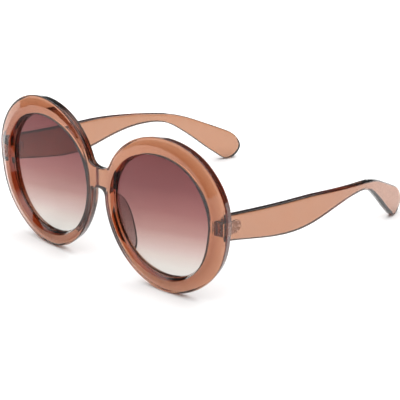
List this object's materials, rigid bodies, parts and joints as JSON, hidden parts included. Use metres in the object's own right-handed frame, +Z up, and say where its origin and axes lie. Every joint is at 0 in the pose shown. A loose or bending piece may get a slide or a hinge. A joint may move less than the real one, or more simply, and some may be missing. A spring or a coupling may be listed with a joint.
{
  "type": "sunglasses",
  "caption": "Oversized round sunglasses with a translucent brown moulded front, gradient tinted lenses, bonded nose pads and folding temples on screwed hinges.",
  "frame": {"origin": "bottom middle of the bounding box, on the table between the rims and the temple tips", "axes": "+Z up; the front faces -Y and the temples run towards +Y; +X is the wearer's left"},
  "size_m": [0.148, 0.1528, 0.0726],
  "materials": {
    "frame_plastic": "translucent brown, polished",
    "temple_plastic": "translucent brown, polished",
    "pad_plastic": "translucent brown, polished",
    "lens_tint": "clear, tinted plum brown at the top and fading to clear",
    "hinge_metal": "plated, satin",
    "screw_metal": "turned, bright"
  },
  "bodies": {
    "front": {"front_frame": "frame_plastic", "lens_left": "lens_tint", "lens_right": "lens_tint", "nose_pad_left": "pad_plastic", "nose_pad_right": "pad_plastic", "hinge_front_leaf_left": "hinge_metal", "hinge_front_leaf_right": "hinge_metal", "hinge_screw_left": "screw_metal", "hinge_screw_right": "screw_metal"},
    "arm_left": {"temple_left": "temple_plastic", "hinge_temple_leaf_left": "hinge_metal"},
    "arm_right": {"temple_right": "temple_plastic", "hinge_temple_leaf_right": "hinge_metal"}
  },
  "joints": [
    {"name": "fold_left", "type": "hinge", "parent": "front", "child": "arm_left", "pos_m": [0.06681, -0.06452, 0.03819], "axis": [0, 0, 1], "range_deg": [0, 85]},
    {"name": "fold_right", "type": "hinge", "parent": "front", "child": "arm_right", "pos_m": [-0.06681, -0.06452, 0.03819], "axis": [0, 0, -1], "range_deg": [0, 76]}
  ]
}
